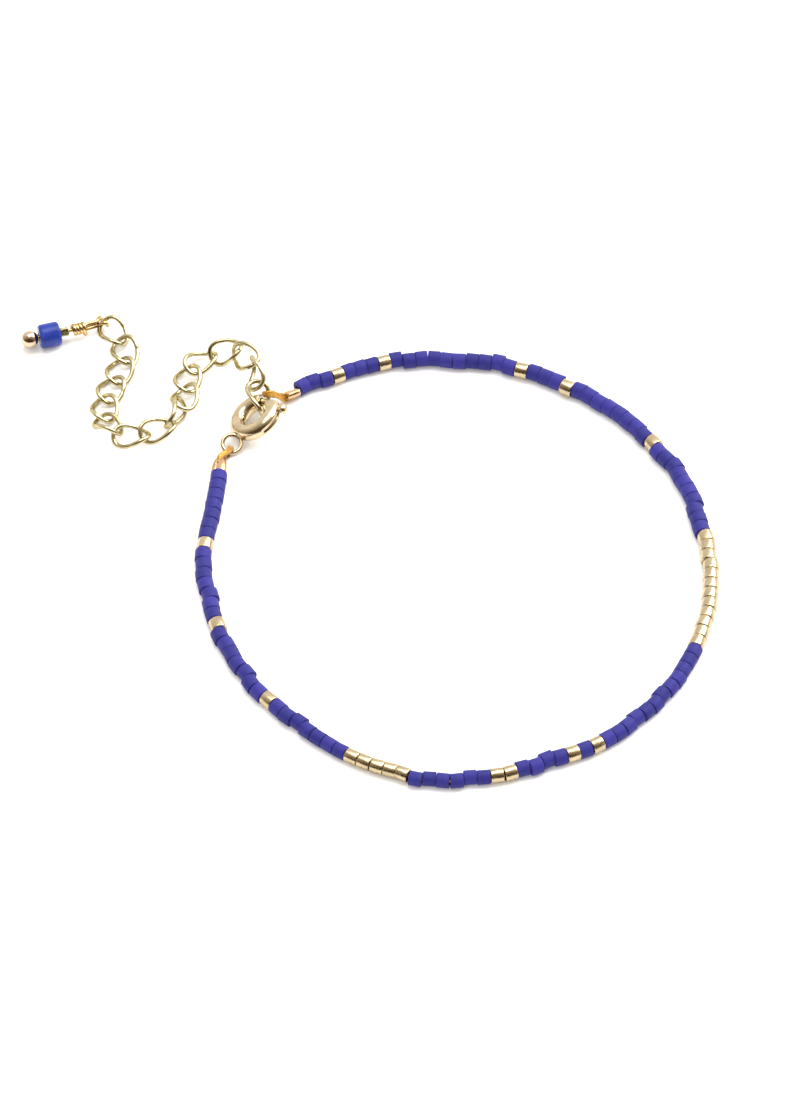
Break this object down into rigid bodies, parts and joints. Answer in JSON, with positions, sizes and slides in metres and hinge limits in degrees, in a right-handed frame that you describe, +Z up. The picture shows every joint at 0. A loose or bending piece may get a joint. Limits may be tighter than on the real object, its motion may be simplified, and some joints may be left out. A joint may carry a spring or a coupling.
{
  "type": "bracelet",
  "caption": "Slim bracelet of blue and gold cylinder beads, fastened by a spring ring clasp to an extension chain that ends in a wrapped bead drop, lying flat.",
  "frame": {"origin": "middle of the bounding box's underside, on the surface that the bracelet lies on", "axes": "+Z up; +X from the bead drop towards the far side of the bead loop; +Y from the nearer side of the loop towards the chain"},
  "size_m": [0.0776, 0.0684, 0.005],
  "materials": {
    "bead_blue": "matte opaque",
    "bead_gold": "plated, satin bright",
    "chain_gold": "plated, bright champagne",
    "clasp_gold": "plated, polished",
    "crimp_gold": "plated, rosy, polished",
    "wire_amber": "lacquered wire, glossy amber",
    "drop_blue": "glossy opaque"
  },
  "bodies": {
    "bracelet": {"bead_strand": "bead_blue", "crimp_clasp": "crimp_gold", "crimp_chain": "crimp_gold", "wire_loop_clasp": "wire_amber", "wire_loop_chain": "wire_amber", "clasp_ring": "clasp_gold", "drop_pin": "clasp_gold", "drop_bead": "drop_blue", "drop_tube": "clasp_gold", "gold_bead_01": "bead_gold", "gold_bead_02": "bead_gold", "gold_bead_03": "bead_gold", "gold_bead_04": "bead_gold", "gold_bead_05": "bead_gold", "gold_bead_06": "bead_gold", "gold_bead_07": "bead_gold", "gold_bead_08": "bead_gold", "gold_bead_09": "bead_gold", "gold_bead_10": "bead_gold", "gold_bead_11": "bead_gold", "gold_bead_12": "bead_gold", "gold_bead_13": "bead_gold", "gold_bead_14": "bead_gold", "gold_bead_15": "bead_gold", "gold_bead_16": "bead_gold", "gold_bead_17": "bead_gold", "gold_bead_18": "bead_gold", "gold_bead_19": "bead_gold", "gold_bead_20": "bead_gold", "gold_bead_21": "bead_gold", "gold_bead_22": "bead_gold", "gold_bead_23": "bead_gold", "gold_bead_24": "bead_gold", "gold_bead_25": "bead_gold", "gold_bead_26": "bead_gold", "gold_bead_27": "bead_gold", "gold_bead_28": "bead_gold", "gold_bead_29": "bead_gold", "chain_link_01": "chain_gold", "chain_link_02": "chain_gold", "chain_link_03": "chain_gold", "chain_link_04": "chain_gold", "chain_link_05": "chain_gold", "chain_link_06": "chain_gold", "chain_link_07": "chain_gold", "chain_link_08": "chain_gold", "chain_link_09": "chain_gold", "chain_link_10": "chain_gold", "chain_link_11": "chain_gold", "chain_link_12": "chain_gold", "chain_link_13": "chain_gold", "chain_link_14": "chain_gold", "chain_link_15": "chain_gold", "chain_link_16": "chain_gold"},
    "bolt": {"clasp_bolt": "clasp_gold"}
  },
  "joints": [
    {"name": "bolt_slide", "type": "hinge", "parent": "bracelet", "child": "bolt", "pos_m": [-0.01214, 0.01781, 0.0022], "axis": [0.4726, -0.02, -0.8811], "range_deg": [0, 50], "stiffness_Nm_per_rad": 0.002, "springref_deg": -5.73}
  ]
}
